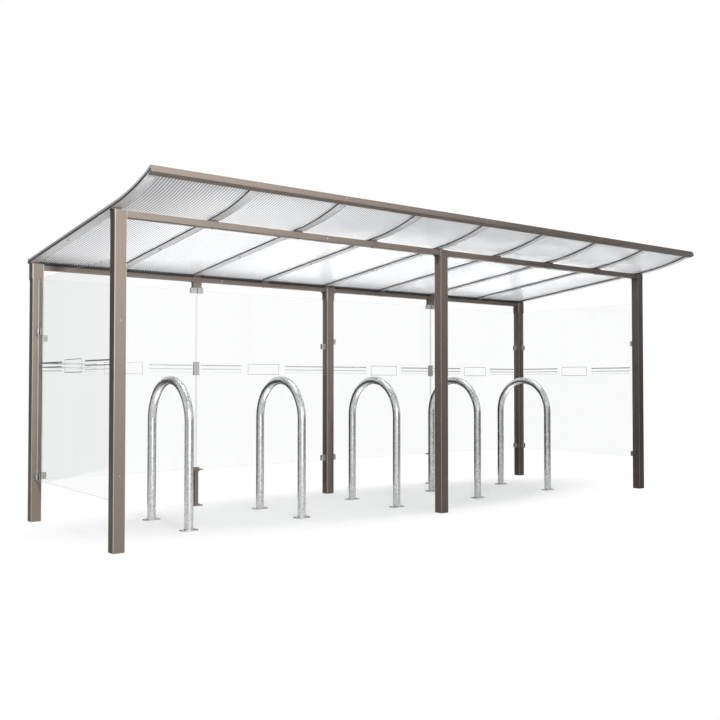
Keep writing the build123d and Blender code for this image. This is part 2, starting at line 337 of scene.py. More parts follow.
@dataclass(frozen=True)
class Aluminium(Finish):
    """Satin extruded aluminium, with the die's fine lines along the bar."""

    colour: Colour = (0.955, 0.96, 0.965)
    cloud_colour: Colour = (0.95, 0.955, 0.96)
    roughness: float = 0.34
    metal: float = 0.4
    line_stretch: tuple[float, float, float] = (420.0, 3.0, 420.0)
    line_depth: float = 0.0002
    cloud_scale: float = 5.0

    def shade(self, g: Shading) -> None:
        """Adds the metal's nodes.

        Args:
            g: the material's graph.
        """
        lines = g.noise(g.place(*self.line_stretch), 1.0)
        cloud = g.noise(g.place(), self.cloud_scale, 3.0)
        tone = g.blend(lines * 0.22, self.colour, darker(self.colour, 0.78))
        g.coat(
            Base_Color=g.blend(cloud * 0.15, tone, self.cloud_colour),
            Metallic=self.metal,
            Roughness=self.roughness + lines * 0.12,
            Normal=g.bump(lines, 0.12, self.line_depth),
        )


@dataclass(frozen=True)
class CastMetal(Finish):
    """Satin cast metal with a fine skin, for clamps and plates."""

    colour: Colour = (0.50, 0.50, 0.49)
    roughness: float = 0.36
    metal: float = 0.7
    skin_scale: float = 900.0
    skin_depth: float = 0.0003
    cloud_scale: float = 40.0

    def shade(self, g: Shading) -> None:
        """Adds the metal's nodes.

        Args:
            g: the material's graph.
        """
        where = g.place()
        skin = g.noise(where, self.skin_scale, 3.0, 0.6)
        cloud = g.noise(where, self.cloud_scale)
        g.coat(
            Base_Color=g.blend(cloud * 0.25, self.colour, darker(self.colour, 0.72)),
            Metallic=self.metal,
            Roughness=self.roughness + (skin - 0.5) * 0.2,
            Normal=g.bump(skin, 0.25, self.skin_depth),
        )


@dataclass(frozen=True)
class Galvanised(Finish):
    """Hot-dip galvanised steel: crystals of spangle, each with its own brightness."""

    colour: Colour = (0.53, 0.535, 0.54)
    bright: Colour = (0.66, 0.665, 0.67)
    stained: Colour = (0.42, 0.425, 0.43)
    roughness: float = 0.25
    metal: float = 0.9
    crystal: float = 66.0
    fine: float = 2.6
    warp: float = 0.012
    warp_scale: float = 60.0
    stain_scale: float = 14.0
    blotch_scale: float = 34.0
    blotch_depth: float = 0.0003

    def cells(self, g: Shading, where: Val, scale: float, part: int) -> Val:
        """One part of the random colour of each crystal, at one size of crystal."""
        cells = g.value("ShaderNodeTexVoronoi", {"Vector": where, "Scale": scale}, "Color")
        return g.split(cells)[part]

    def shade(self, g: Shading) -> None:
        """Adds the zinc's nodes.

        Args:
            g: the material's graph.
        """
        where = g.place()
        drift = {"Vector": where, "Scale": self.warp_scale}
        drift = g.value("ShaderNodeTexNoise", drift, "Color")
        moved = {0: drift, 1: (self.warp,) * 3, 2: where}
        bent = g.value("ShaderNodeVectorMath", moved, operation="MULTIPLY_ADD")
        cell = self.cells(g, bent, self.crystal, 0)
        tiny = self.cells(g, bent, self.fine * self.crystal, 1)
        stain = g.noise(g.place(1.0, 1.0, 0.35), self.stain_scale, 4.0, 0.6)
        blotch = g.noise(g.place(1.0, 1.0, 0.7), self.blotch_scale, 3.0, 0.65)
        blotch = blotch.between(0.40, 0.62)
        glint = cell * 0.75 + tiny * 0.25
        spark = glint.between(0.66, 0.92)
        mottle = glint.between(0.15, 0.75) * 0.65 + blotch * 0.35
        tone = g.blend(mottle, self.colour, self.bright)
        tone = g.blend(spark * 0.3, tone, self.bright)
        g.coat(
            Base_Color=g.blend(stain.between(0.50, 0.72) * 0.2, tone, self.stained),
            Metallic=self.metal,
            Roughness=self.roughness - spark * 0.02 + cell * 0.03,
            Normal=g.bump(blotch, 0.08, self.blotch_depth),
        )


@dataclass(frozen=True)
class ZincFixing(Finish):
    """Bright zinc plate on rivets, screws and bolts."""

    colour: Colour = (0.66, 0.66, 0.65)
    roughness: float = 0.28
    metal: float = 0.8
    cloud_scale: float = 420.0

    def shade(self, g: Shading) -> None:
        """Adds the plate's nodes.

        Args:
            g: the material's graph.
        """
        cloud = g.noise(g.place(), self.cloud_scale)
        tone = g.blend(cloud * 0.4, self.colour, darker(self.colour, 0.6))
        g.coat(Base_Color=tone, Metallic=self.metal, Roughness=self.roughness + cloud * 0.2)


@dataclass(frozen=True)
class Rubber(Finish):
    """Matt black rubber with a dusty bloom."""

    colour: Colour = (0.018, 0.018, 0.018)
    bloom_colour: Colour = (0.09, 0.088, 0.085)
    roughness: float = 0.62
    grain_scale: float = 800.0
    grain_depth: float = 0.0003
    bloom_scale: float = 30.0

    def shade(self, g: Shading) -> None:
        """Adds the rubber's nodes.

        Args:
            g: the material's graph.
        """
        where = g.place()
        grain = g.noise(where, self.grain_scale, 3.0)
        bloom = g.noise(where, self.bloom_scale, 3.0)
        g.coat(
            Base_Color=g.blend(bloom * 0.25, self.colour, self.bloom_colour),
            Roughness=self.roughness + grain * 0.25,
            Normal=g.bump(grain, 0.3, self.grain_depth),
        )


@dataclass(frozen=True)
class FlutedSkin(Finish):
    """The glossy skin of a fluted sheet, with a dark line at each web: painted shade of the web
    seen edge-on.
    """

    pitch: float = 0.021
    line: float = 0.0071
    colour: Colour = (0.92, 0.925, 0.93)
    haze_colour: Colour = (0.93, 0.935, 0.94)
    # painted shade: the near-black of the lines at the webs, far darker than the webs themselves
    web_shade_colour: Colour = (0.12, 0.125, 0.135)
    glow_colour: Colour = (0.95, 0.955, 0.965)
    clear_colour: Colour = (0.97, 0.98, 0.985)
    clear: float = 0.45
    roughness: float = 0.16
    gloss: float = 0.2
    web_depth: float = 0.0004
    haze_stretch: tuple[float, float, float] = (30.0, 1.4, 1.0)
    ripple_stretch: tuple[float, float, float] = (60.0, 2.0, 1.0)

    def shade(self, g: Shading) -> None:
        """Adds the skin's nodes.

        Args:
            g: the material's graph.
        """
        step = (g.split(g.place())[0] / self.pitch).math("FRACT")
        edge = abs(step - 0.5) * self.pitch
        web = 1.0 - edge.between(self.line * 0.35, self.line * 0.75)
        haze = g.noise(g.place(*self.haze_stretch), 1.0, 3.0)
        ripple = g.noise(g.place(*self.ripple_stretch), 1.0)
        # painted shade at each web, on the skins only
        web_shade_mask = web * abs(g.facing()[2]).between(0.5, 0.8)
        tone = g.blend(haze * 0.10, self.colour, self.haze_colour)
        skin = g.surface(
            Base_Color=g.blend(web_shade_mask * 0.9, tone, self.web_shade_colour),
            Roughness=self.roughness + haze * 0.08,
            Normal=g.bump(web + ripple * 0.3, 0.10, self.web_depth),
        )
        glow = g.plain("BsdfTranslucent", self.glow_colour)
        through = g.plain("BsdfTransparent", self.clear_colour)
        body = g.mix(web_shade_mask * 0.8 + 0.2, glow, skin)
        open_body = g.mix(1.0 - (1.0 - web_shade_mask) * self.clear, through, body)
        gloss = g.value("ShaderNodeBsdfGlossy", {"Roughness": self.gloss})
        g.finish(g.mix(g.mirror() * 0.6, open_body, gloss))


@dataclass(frozen=True)
class FlutedWeb(Finish):
    """The milky webs inside a fluted sheet."""

    colour: Colour = (0.88, 0.885, 0.89)
    cloud_colour: Colour = (0.78, 0.79, 0.80)
    cover: float = 0.14
    cloud_stretch: tuple[float, float, float] = (60.0, 4.0, 60.0)

    def shade(self, g: Shading) -> None:
        """Adds the web's nodes.

        Args:
            g: the material's graph.
        """
        cloud = g.noise(g.place(*self.cloud_stretch), 1.0)
        tone = g.blend(cloud * 0.3, self.colour, self.cloud_colour)
        g.coat(Base_Color=tone, Roughness=0.35 + cloud * 0.1, Alpha=self.cover)


@dataclass(frozen=True)
class ClearGlass(Finish):
    """Toughened glass: nearly clear faces and grey-green polished edges."""

    tint: Colour = (0.988, 0.992, 0.991)
    edge: Colour = (0.62, 0.68, 0.67)
    faces: int = 1
    smear_scale: float = 3.0

    def shade(self, g: Shading) -> None:
        """Adds the glass's nodes.

        Args:
            g: the material's graph.
        """
        rim = 1.0 - abs(g.facing()[self.faces]).between(*FACE_ON)
        smear = g.noise(g.place(1.0, 1.0, 0.5), self.smear_scale, 4.0, 0.6)
        ground = g.surface(
            Base_Color=g.blend(smear, self.edge, darker(self.edge, 0.85)),
            Roughness=0.2 + smear * 0.1,
        )
        through = g.plain("BsdfTransparent", self.tint)
        gloss = g.value("ShaderNodeBsdfGlossy", {"Roughness": 0.02 + smear * 0.04})
        face = g.mix(g.mirror() * 0.6 + smear * 0.004, through, gloss)
        g.finish(g.mix(rim * 0.62, face, ground))


@dataclass(frozen=True)
class FrostedFilm(Finish):
    """Grey frosted film on glass."""

    colour: Colour = (0.50, 0.51, 0.52)
    grain_colour: Colour = (0.66, 0.67, 0.68)
    cover: float = 0.75
    grain_scale: float = 700.0

    def shade(self, g: Shading) -> None:
        """Adds the film's nodes.

        Args:
            g: the material's graph.
        """
        grain = g.noise(g.place(), self.grain_scale)
        tone = g.blend(grain * 0.3, self.colour, self.grain_colour)
        g.coat(Base_Color=tone, Roughness=0.55 + grain * 0.2, Alpha=self.cover)


class Finishes:
    """The shelter's finishes, one of each."""

    coat = PowderCoat("taupe_powder_coat")
    # painted shade: a darker copy of the taupe coat, for the seats and gussets that sit in shade
    # under the beams and bars
    shaded_coat = PowderCoat("dark_powder_coat", colour=(0.085, 0.070, 0.060))
    bar = Aluminium("satin_bar_extrusion")
    cast = CastMetal("cast_clamp_metal")
    zinc = Galvanised("hot_dip_zinc")
    fixing = ZincFixing("zinc_fixings")
    dull = ZincFixing("dull_fixings", colour=(0.34, 0.34, 0.335))
    rubber = Rubber("soft_black_rubber")
    seal = Rubber("grey_rubber", colour=(0.10, 0.10, 0.10))
    skin = FlutedSkin("fluted_sheet_skin")
    web = FlutedWeb("fluted_sheet_web")
    rear_glass = ClearGlass("clear_glass_rear", faces=1)
    side_glass = ClearGlass("clear_glass_side", faces=0)
    film = FrostedFilm("frosted_film")
    faint_film = FrostedFilm("faint_frosted_film", colour=(0.62, 0.63, 0.64), cover=0.35)


def dress_cad(finishes: dict[str, Finish]) -> None:
    """Gives CAD pieces their finishes, by the first start that fits each name."""
    for name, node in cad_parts.items():
        fitting = [finish for start, finish in finishes.items() if name.startswith(start)]
        if fitting:
            fitting[0].dress(node)


# ---- meshes ------------------------------------------------------------------------------------
def add_object(name: str, data: Any) -> bpy.types.Object:
    """Links a mesh, a curve, a lamp or a camera to the scene as an object at the origin.

    Args:
        name: the object's name.
        data: its mesh, curve, lamp or camera.

    Returns:
        The object.
    """
    made = bpy.data.objects.new(name, data)
    bpy.context.scene.collection.objects.link(made)
    return made


def plain_mesh(obj: bpy.types.Object) -> bpy.types.Mesh:
    """The mesh that an object with modifiers, or a curve, comes to.

    Args:
        obj: the object.

    Returns:
        The mesh.
    """
    graph = bpy.context.evaluated_depsgraph_get()
    graph.update()
    return bpy.data.meshes.new_from_object(
        obj.evaluated_get(graph), preserve_all_data_layers=True, depsgraph=graph
    )


def take_on(piece: bpy.types.Object, slot: str, *nodes: str) -> None:
    """Makes a finished piece ride on the shelter.

    Args:
        piece: the piece.
        slot: the record's material slot; not used.
        nodes: the CAD nodes that it stands for, if any.
    """
    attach(piece, BODY)
    if nodes:
        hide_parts(*nodes)
    log.info("%s: %d faces", piece.name, len(piece.data.polygons))


def path_mesh(name: str, *lines: Sequence[Vector]) -> bpy.types.Mesh:
    """A mesh of open lines, each through its own points.

    Args:
        name: the mesh's name.
        lines: the points of each line.

    Returns:
        The mesh.
    """
    mesh = bpy.data.meshes.new(name)
    points, edges = [], []
    for line in lines:
        start = len(points)
        points += [tuple(p) for p in line]
        edges += [(start + i, start + i + 1) for i in range(len(line) - 1)]
    mesh.from_pydata(points, edges, [])
    return mesh


def sheet_mesh(name: str, *corners: Sequence[float]) -> bpy.types.Mesh:
    """A mesh of one face.

    Args:
        name: the mesh's name.
        corners: the face's corners, in order.

    Returns:
        The mesh.
    """
    mesh = bpy.data.meshes.new(name)
    mesh.from_pydata(corners, [], [tuple(range(len(corners)))])
    return mesh


def box_mesh(name: str, boxes: Iterable[Box]) -> bpy.types.Mesh:
    """A mesh of closed boxes, each given by its lowest and highest corner.

    Args:
        name: the mesh's name.
        boxes: the corners of each box.

    Returns:
        The mesh.
    """
    sides = ((0, 1, 3, 2), (4, 6, 7, 5), (0, 4, 5, 1), (2, 3, 7, 6), (0, 2, 6, 4), (1, 5, 7, 3))
    shape = bmesh.new()
    for low, high in boxes:
        corners = [
            shape.verts.new((x, y, z))
            for x in (low[0], high[0])
            for y in (low[1], high[1])
            for z in (low[2], high[2])
        ]
        for side in sides:
            shape.faces.new([corners[i] for i in side])
    bmesh.ops.recalc_face_normals(shape, faces=shape.faces)
    mesh = bpy.data.meshes.new(name)
    shape.to_mesh(mesh)
    shape.free()
    return mesh


# ---- geometry recipes --------------------------------------------------------------------------
class Recipe(Graph):
    """A Geometry Nodes tree with named inputs. It is run once on a mesh and leaves a plain mesh."""

    def __init__(
        self,
        name: str,
        sizes: Sequence[str],
        counts: Sequence[str] = (),
        finishes: Sequence[str] = ("Finish",),
    ) -> None:
        """Makes the tree and its inputs.

        Args:
            name: the tree's name.
            sizes: the names of its lengths.
            counts: the names of its whole numbers.
            finishes: the names of its materials.
        """
        super().__init__(bpy.data.node_groups.new(name, "GeometryNodeTree"))
        face = self.tree.interface
        for way in ("INPUT", "OUTPUT"):
            face.new_socket(name="Geometry", in_out=way, socket_type="NodeSocketGeometry")
        self.named = {}
        for kind, keys in (("Float", sizes), ("Int", counts), ("Material", finishes)):
            for key in keys:
                made = face.new_socket(name=key, in_out="INPUT", socket_type=f"NodeSocket{kind}")
                self.named[key] = made.identifier
        self.source = self.node("NodeGroupInput")

    def given(self, name: str = "Geometry") -> Val:
        """One of the tree's inputs."""
        return Val(self, self.source.outputs[name])

    def join(self, *parts: Val) -> Val:
        """Several geometries as one."""
        return self.value("GeometryNodeJoinGeometry", {0: list(parts)})

    def vector(self, x: Val | float = 0.0, y: Val | float = 0.0, z: Val | float = 0.0) -> Val:
        """A vector from three values."""
        return self.value("ShaderNodeCombineXYZ", {0: x, 1: y, 2: z})

    def lift(self, part: Val, height: Val) -> Val:
        """A geometry moved up."""
        moved = {"Geometry": part, "Translation": self.vector(z=height)}
        return self.value("GeometryNodeTransform", moved)

    def smooth(self, part: Val, on: bool = True) -> Val:
        """A geometry shaded smooth or flat."""
        return self.value("GeometryNodeSetShadeSmooth", {0: part, "Shade Smooth": on})

    def flat(self, *parts: Val) -> Val:
        """Several geometries as one, shaded flat."""
        return self.smooth(self.join(*parts), False)

    def material(self, part: Val, name: str = "Finish") -> Val:
        """A geometry with the material of a named input."""
        named = {"Geometry": part, "Material": self.given(name)}
        return self.value("GeometryNodeSetMaterial", named)

    def level_path(self) -> Val:
        """The lines that the tree starts from, as curves that keep their sections upright."""
        line = self.value("GeometryNodeMeshToCurve", {0: self.given()})
        return self.value("GeometryNodeSetCurveNormal", {0: line}, mode="Z_UP")

    def oblong(self, width: Val, height: Val) -> Val:
        """The outline of an oblong."""
        sides = {"Width": width, "Height": height}
        return self.value("GeometryNodeCurvePrimitiveQuadrilateral", sides)

    def ring(self, sides: Val | int, radius: Val) -> Val:
        """The outline of a circle."""
        look = {"Resolution": sides, "Radius": radius}
        return self.value("GeometryNodeCurvePrimitiveCircle", look)

    def sweep(self, line: Val, outline: Val, caps: bool = True) -> Val:
        """An outline swept along a line, with closed ends if it has caps."""
        way = {"Curve": line, "Profile Curve": outline, "Fill Caps": caps}
        return self.value("GeometryNodeCurveToMesh", way)

    def real(self, part: Val) -> Val:
        """A geometry with its instances made real."""
        return self.value("GeometryNodeRealizeInstances", {0: part})

    def repeat(self, part: Val, points: Val, **turned: Val) -> Val:
        """A geometry set on every point, turned as asked, and made real."""
        put = {"Points": points, "Instance": part, **turned}
        return self.real(self.value("GeometryNodeInstanceOnPoints", put))

    def prism(self, share: "Prism", radius: Val, height: Val) -> Val:
        """One part of a head, on its own height above the origin.

        Args:
            share: its sides, and its sizes as shares of the head's.
            radius: the head's radius.
            height: the head's height.

        Returns:
            The prism.
        """
        wide, depth, low = radius * share.wide, height * share.depth, height * share.low
        look = {"Vertices": share.sides, "Depth": depth}
        if share.wide == share.narrow:
            tube = self.value("GeometryNodeMeshCylinder", {**look, "Radius": wide})
            return self.lift(tube, depth * 0.5 + low)
        ends = {"Radius Bottom": wide, "Radius Top": radius * share.narrow}
        return self.lift(self.value("GeometryNodeMeshCone", {**look, **ends}), low)

    def end(self, part: Val) -> None:
        """Makes instances real and sends the result out."""
        self.node("NodeGroupOutput", {0: self.real(part)})

    def run(self, name: str, mesh: bpy.types.Mesh, **values: Any) -> bpy.types.Object:
        """Runs the tree on a mesh.

        Args:
            name: the new object's name.
            mesh: what the tree starts from.
            values: a value for each named input, spaces as underscores.

        Returns:
            An object at the origin with a plain mesh.
        """
        made = add_object(name, mesh)
        modifier = made.modifiers.new(self.tree.name, "NODES")
        modifier.node_group = self.tree
        for key, value in values.items():
            if isinstance(value, Finish):
                value = value.material()
            modifier[self.named[key.replace("_", " ")]] = value
        result = plain_mesh(made)
        made.modifiers.clear()
        made.data = result
        return made


# ---- fixings -----------------------------------------------------------------------------------
@dataclass(frozen=True)
class Prism:
    """A straight or tapered part of a head, in shares of the head's radius and height."""

    sides: int
    wide: float
    narrow: float
    depth: float
    low: float = 0.0


class FastenerKind(Enum):
    """The heads that the shelter's fixings have, each with its prisms from the ground up."""

    RIVET = (Prism(20, 1.0, 0.86, 0.3),)
    SOCKET_SCREW = (
        Prism(24, 1.0, 1.0, 0.55),
        Prism(24, 1.0, 0.72, 0.45, 0.55),
        Prism(6, 0.42, 0.42, 0.06, 0.98),
    )
    HEX_BOLT = (
        Prism(24, 1.55, 1.55, 0.22),
        Prism(6, 1.0, 1.0, 0.62, 0.22),
        Prism(6, 1.0, 0.84, 0.16, 0.84),
    )
    ANCHOR_NUT = (
        Prism(24, 1.3, 1.3, 0.12),
        Prism(6, 1.0, 1.0, 0.5, 0.12),
        Prism(6, 1.0, 0.86, 0.1, 0.62),
        Prism(14, 0.5, 0.5, 0.9),
        Prism(14, 0.5, 0.4, 0.1, 0.9),
    )


@dataclass(frozen=True)
class Spot:
    """Where one fixing sits and which way its head points."""

    place: Vector
    facing: Vector = FORWARD


@dataclass(frozen=True)
class Fixing:
    """One size of head, with its finish and the record's material slot."""

    kind: FastenerKind
    radius: float
    height: float
    finish: Finish
    slot: str = "clamp_metal"


class Fasteners:
    """Rivets, screws, bolts and nuts, set on points that carry a direction."""

    SEED = 5

    def __init__(self) -> None:
        """Starts with no trees."""
        self.recipes: dict[FastenerKind, Recipe] = {}

    def recipe(self, kind: FastenerKind) -> Recipe:
        """The tree for one kind of head, made the first time that it is asked for."""
        if kind not in self.recipes:
            self.recipes[kind] = self.new_recipe(kind)
        return self.recipes[kind]

    def new_recipe(self, kind: FastenerKind) -> Recipe:
        """A tree that sets one kind of head on points, each turned by chance about its axis.

        Args:
            kind: the kind of head.

        Returns:
            The tree.
        """
        g = Recipe(f"{kind.name.lower()}_set", ("Radius", "Height"), ("Seed",))
        radius, height = g.given("Radius"), g.given("Height")
        head = g.flat(*(g.prism(share, radius, height) for share in kind.value))
        if kind is FastenerKind.RIVET:
            head = g.join(self.dome(g, radius, height), head)
        named = {"Name": "facing"}
        facing = g.value("GeometryNodeInputNamedAttribute", named, data_type="FLOAT_VECTOR")
        chance = {2: 0.0, 3: math.tau, "Seed": g.given("Seed")}
        turn = g.value("FunctionNodeRandomValue", chance, 1, data_type="FLOAT")
        spin = g.value("FunctionNodeEulerToRotation", {0: g.vector(z=turn)})
        aim = g.value("FunctionNodeAlignRotationToVector", {"Vector": facing}, axis="Z")
        both = g.value("FunctionNodeRotateRotation", {0: aim, 1: spin}, rotation_space="LOCAL")
        g.end(g.material(g.repeat(head, g.given(), Rotation=both)))
        return g

    @staticmethod
    def dome(g: Recipe, radius: Val, height: Val) -> Val:
        """A rivet's round top.

        Args:
            g: the tree.
            radius: the head's radius.
            height: the head's height.

        Returns:
            The dome.
        """
        ball = g.value("GeometryNodeMeshUVSphere", {"Segments": 18, "Rings": 10, "Radius": 1.0})
        size = g.vector(radius * 0.8, radius * 0.8, height)
        return g.smooth(g.value("GeometryNodeTransform", {"Geometry": ball, "Scale": size}))

    def set(self, name: str, fixing: Fixing, spots: Sequence[Spot]) -> None:
        """Makes one piece of fixings.

        Args:
            name: the piece's name.
            fixing: what the heads are.
            spots: where the heads sit.
        """
        mesh = path_mesh(name, *([spot.place] for spot in spots))
        facing = mesh.attributes.new("facing", "FLOAT_VECTOR", "POINT")
        for item, spot in zip(facing.data, spots):
            item.vector = spot.facing
        sizes = {"Radius": fixing.radius, "Height": fixing.height}
        recipe = self.recipe(fixing.kind)
        piece = recipe.run(name, mesh, **sizes, Seed=self.SEED, Finish=fixing.finish)
        take_on(piece, fixing.slot)


# ---- frame -------------------------------------------------------------------------------------
@dataclass
class SteelFrame:
    """Posts, beams, heads and gussets, with the bolts and plugs that show on them."""

    beam_height: float = 0.042
    clear_of_post: float = 0.08
    rivet_x: float = -1.14
    left_plugs: tuple[float, float] = (1.461, 0.481)
    middle_plugs: tuple[float, float] = (1.414, 0.355)
    bolt: Fixing = Fixing(FastenerKind.HEX_BOLT, 0.0075, 0.008, Finishes.coat, "powder_coat")
    plug: Fixing = Fixing(FastenerKind.RIVET, 0.0055, 0.002, Finishes.dull)
    rivet: Fixing = Fixing(FastenerKind.RIVET, 0.006, 0.003, Finishes.fixing)

    def posts(self, row: str) -> list[Box]:
        """The boxes of the front or the rear posts, from left to right."""
        return [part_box(f"{row}_post_{side}") for side in ("left", "middle", "right")]

    def row_y(self, row: str) -> float:
        """The centre line of a row of posts."""
        low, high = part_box(f"{row}_post_middle")
        return (low.y + high.y) / 2

    def beam_spots(self) -> list[Spot]:
        """Places under both beams, one below each glazing bar that is clear of the posts.

        Returns:
            The places.
        """
        spots = []
        for row in ("front", "rear"):
            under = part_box(f"{row}_beam_left")[1].z - self.beam_height
            posts = [(low.x + high.x) / 2 for low, high in self.posts(row)]
            for x in bar_middles():
                if min(abs(x - post) for post in posts) > self.clear_of_post:
                    place = Vector((x, self.row_y(row), under))
                    spots.append(Spot(place, Vector((0, 0, -1))))
        return spots

    def plug_spots(self) -> list[Spot]:
        """Places in the faces of the front posts, a high one and a low one in each.

        Returns:
            The places.
        """
        (left, _), (middle, far), _ = self.posts("front")
        half = (far.x - middle.x) / 2
        front = [
            Spot(Vector((post.x + half, post.y, z)))
            for post, heights in ((left, self.left_plugs), (middle, self.middle_plugs))
            for z in heights
        ]
        y = self.row_y("front")
        side = [Spot(Vector((middle.x, y, z)), Vector((-1, 0, 0))) for z in self.middle_plugs]
        return front + side

    def rivet_spots(self) -> list[Spot]:
        """Single places on the front faces of the left beams."""
        boxes = [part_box(f"{row}_beam_left") for row in ("front", "rear")]
        return [Spot(Vector((self.rivet_x, low.y, (low.z + high.z) / 2))) for low, high in boxes]

    def build(self, fasteners: Fasteners) -> None:
        """Dresses the frame and adds its bolts, plugs and rivets.

        Args:
            fasteners: what sets the fixings.
        """
        starts = ("front_post", "rear_post", "front_beam", "rear_beam")
        dress_cad(dict.fromkeys(starts, Finishes.coat))
        # painted shade: the seats and gussets take the darker copy of the coat, for the shade they
        # sit in
        dark = ("front_bar_seats", "rear_bar_seats", "beam_gussets")
        dress_cad(dict.fromkeys(dark, Finishes.shaded_coat))
        fasteners.set("beam_bolts", self.bolt, self.beam_spots())
        fasteners.set("post_plugs", self.plug, self.plug_spots())
        fasteners.set("beam_face_rivets", self.rivet, self.rivet_spots())


# ---- roof --------------------------------------------------------------------------------------
@dataclass(frozen=True)
class RoofLine:
    """The underside of the bars seen from the side: straight over the beams, then a curl."""

    front_y: float
    front_z: float
    rear_y: float
    rear_z: float
    curl_lead: float = 0.075
    curl_radius: float = 2.2

    def fall(self) -> float:
        """The slope of the straight part, as an angle."""
        return math.atan2(self.front_z - self.rear_z, self.rear_y - self.front_y)

    def start(self) -> float:
        """The station where the curl starts."""
        return self.front_y - self.curl_lead

    def at(self, y: float, height: float, x: float = 0.0) -> Vector:
        """A point above the line.

        Args:
            y: the station on the line.
            height: how far above the line it lies, along the normal.
            x: its place along the shelter.

        Returns:
            The point.
        """
        fall, start, radius = self.fall(), self.start(), self.curl_radius
        if y >= start:
            z = self.front_z - (y - self.front_y) * math.tan(fall)
            return Vector((x, y + height * math.sin(fall), z + height * math.cos(fall)))
        middle_y = start + radius * math.sin(fall)
        middle_z = self.front_z + self.curl_lead * math.tan(fall) + radius * math.cos(fall)
        angle = math.asin((middle_y - y) / radius)
        reach = radius - height
        return Vector((x, middle_y - reach * math.sin(angle), middle_z - reach * math.cos(angle)))

    def up(self, y: float) -> Vector:
        """The direction away from the underside at a station."""
        return (self.at(y, 0.01) - self.at(y, 0.0)).normalized()


def bar_middles() -> list[float]:
    """The glazing bars' centre lines, from left to right.

    Returns:
        The place of each bar.
    """
    low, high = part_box("roof_bars_ends")
    first, last = low.x + BAR_HALF, high.x - BAR_HALF
    return [first + (last - first) * i / (BAR_COUNT - 1) for i in range(BAR_COUNT)]


